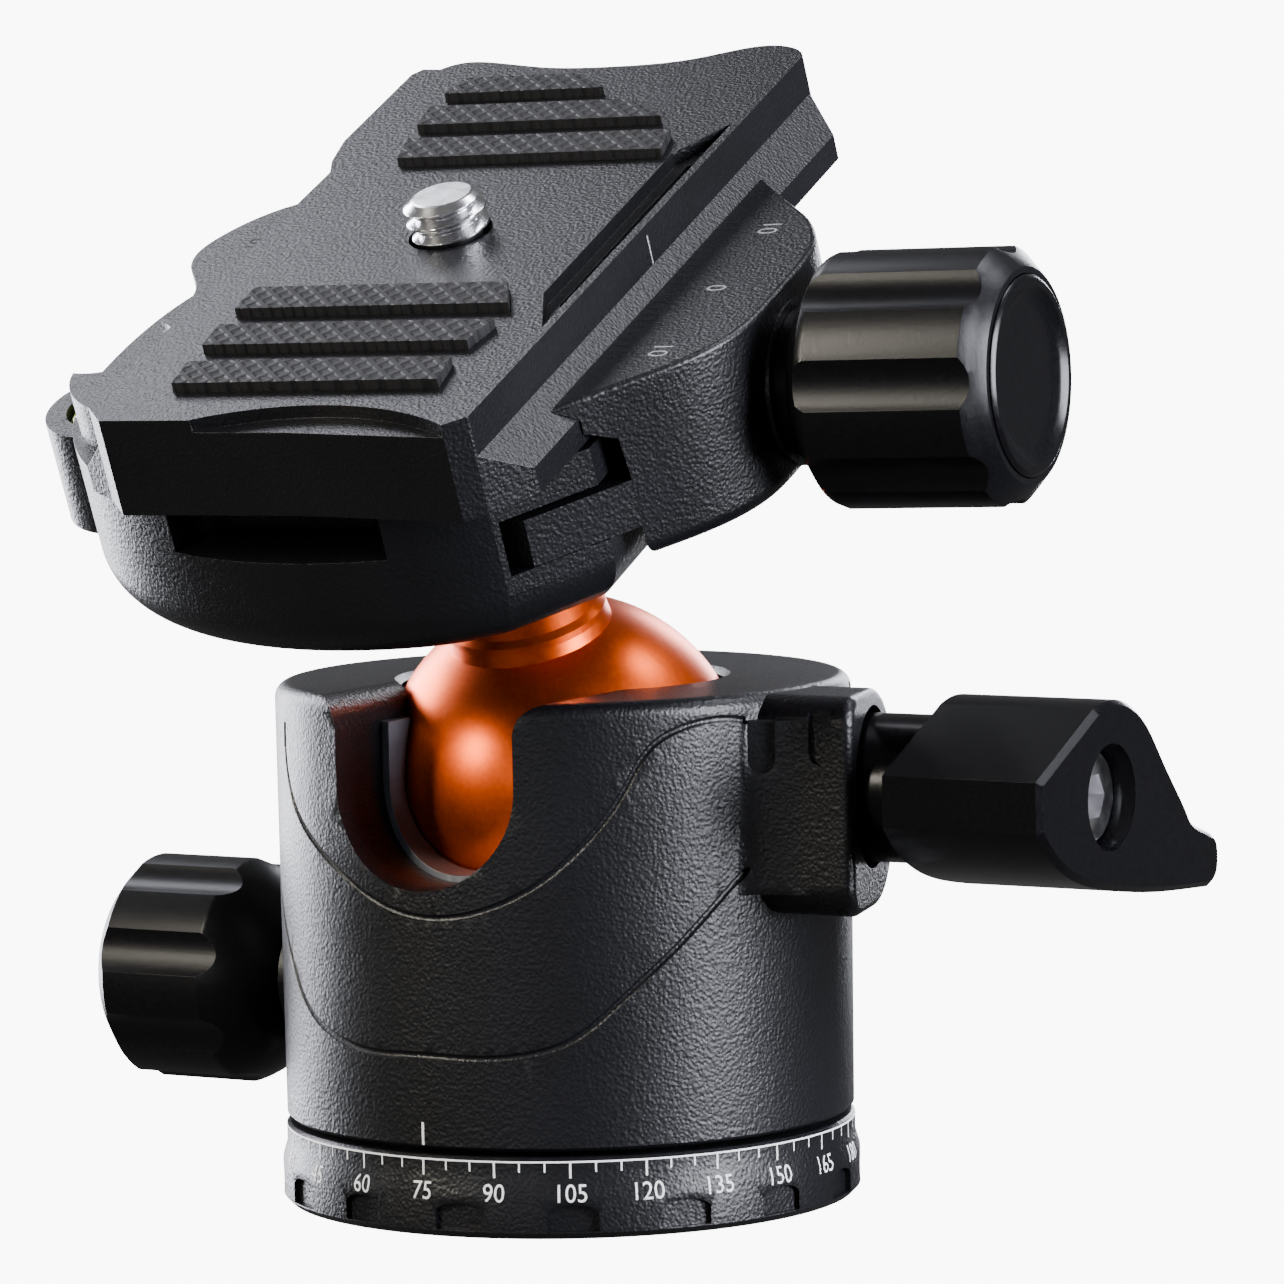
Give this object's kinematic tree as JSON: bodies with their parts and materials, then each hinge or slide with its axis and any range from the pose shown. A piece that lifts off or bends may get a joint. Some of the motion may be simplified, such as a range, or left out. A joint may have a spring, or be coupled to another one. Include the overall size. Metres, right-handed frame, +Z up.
{
  "type": "tripod ball head",
  "caption": "Ball head for a tripod: panning base, notched housing, lever and knob locks, orange ball, dovetail clamp and quick release plate.",
  "frame": {"origin": "centre of the tripod thread's mouth, in the plane of the base underside", "axes": "+Z up along the pan axis; the drop notch and the pan index face -Y; the ball lock lever is on +X and the pan lock knob on -X; the head leans 22.5 degrees towards -Y at rest"},
  "size_m": [0.0876, 0.0688, 0.0901],
  "materials": {
    "coated_alloy": "fine blasted black coating",
    "knob_metal": "satin black anodised metal",
    "lever_metal": "semi-gloss black",
    "ball_anodised": "satin orange anodised",
    "steel": "turned steel",
    "screw_steel": "bright plated steel",
    "bronze": "plain bearing bronze",
    "liner_plastic": "grey low-friction plastic",
    "pad_rubber": "rubber with a fine pitted grain",
    "vial": "tinted clear"
  },
  "bodies": {
    "base": {"pan_base": "coated_alloy", "thread_insert": "steel", "snap_ring": "steel", "thrust_washer": "liner_plastic"},
    "housing": {"housing": "coated_alloy", "carrier_plug": "bronze", "carrier_set_screws": "steel", "liner_ring": "liner_plastic", "lower_seat": "liner_plastic", "disc_spring": "steel", "lever_bush": "bronze", "boss_washer": "steel", "pan_collar": "knob_metal"},
    "lock_shoe": {"brake_shoe": "liner_plastic"},
    "lever": {"lock_lever": "lever_metal", "lock_spindle": "steel", "lever_screw": "screw_steel"},
    "pan_pin": {"pan_brake_pin": "bronze"},
    "pan_handwheel": {"pan_knob": "knob_metal", "pan_stud": "steel"},
    "stem": {"stem_bolt": "steel"},
    "clamp": {"ball": "ball_anodised", "clamp_base": "coated_alloy", "level_vial": "vial", "guide_pins": "steel"},
    "jaw": {"moving_jaw": "coated_alloy", "knob_washer": "knob_metal"},
    "handwheel": {"clamp_knob": "knob_metal", "knob_cap": "knob_metal", "draw_screw": "steel"},
    "plate": {"quick_plate": "coated_alloy", "pad_front": "pad_rubber", "pad_rear": "pad_rubber"},
    "camera_bolt": {"camera_screw": "screw_steel"}
  },
  "joints": [
    {"name": "pan", "type": "hinge", "parent": "base", "child": "housing", "pos_m": [0, 0, 0], "axis": [0, 0, 1], "continuous": true},
    {"name": "lock_push", "type": "slide", "parent": "housing", "child": "lock_shoe", "axis": [1, 0, 0], "range_m": [0, 0.0003125]},
    {"name": "lever_turn", "type": "hinge", "parent": "lock_shoe", "child": "lever", "pos_m": [0, 0, 0.03325], "axis": [1, 0, 0], "range_deg": [0, 90]},
    {"name": "pan_lock_push", "type": "slide", "parent": "housing", "child": "pan_pin", "axis": [-1, 0, 0], "range_m": [0, 0.001]},
    {"name": "pan_knob_turn", "type": "hinge", "parent": "pan_pin", "child": "pan_handwheel", "pos_m": [-0.03, 0, 0.016], "axis": [-1, 0, 0], "range_deg": [0, 360]},
    {"name": "tilt", "type": "hinge", "parent": "housing", "child": "stem", "pos_m": [0, 0, 0.03325], "axis": [1, 0, 0], "range_deg": [-55.5, 65.5]},
    {"name": "head_turn", "type": "hinge", "parent": "stem", "child": "clamp", "pos_m": [0, 0, 0.03325], "axis": [0, -0.3827, 0.9239], "continuous": true},
    {"name": "jaw_slide", "type": "slide", "parent": "clamp", "child": "jaw", "axis": [0.9976, 0.0644, 0.0267], "range_m": [0, 0.003]},
    {"name": "clamp_knob_turn", "type": "hinge", "parent": "jaw", "child": "handwheel", "pos_m": [0.03791, -0.01049, 0.06549], "axis": [0.9976, 0.0644, 0.0267], "range_deg": [0, 1080]},
    {"name": "plate_slide", "type": "slide", "parent": "clamp", "child": "plate", "axis": [-0.0698, 0.9216, 0.3818], "range_m": [-0.0174, 0.0126]},
    {"name": "camera_screw_turn", "type": "hinge", "parent": "plate", "child": "camera_bolt", "pos_m": [-0.00017, -0.0131, 0.07112], "axis": [0, -0.3827, 0.9239], "continuous": true}
  ],
  "couplings": [
    {"joint": "lever_turn", "follows": "lock_push", "rad_per_m": 5026.5},
    {"joint": "pan_knob_turn", "follows": "pan_lock_push", "rad_per_m": 6283.2},
    {"joint": "clamp_knob_turn", "follows": "jaw_slide", "rad_per_m": 6283.2}
  ]
}
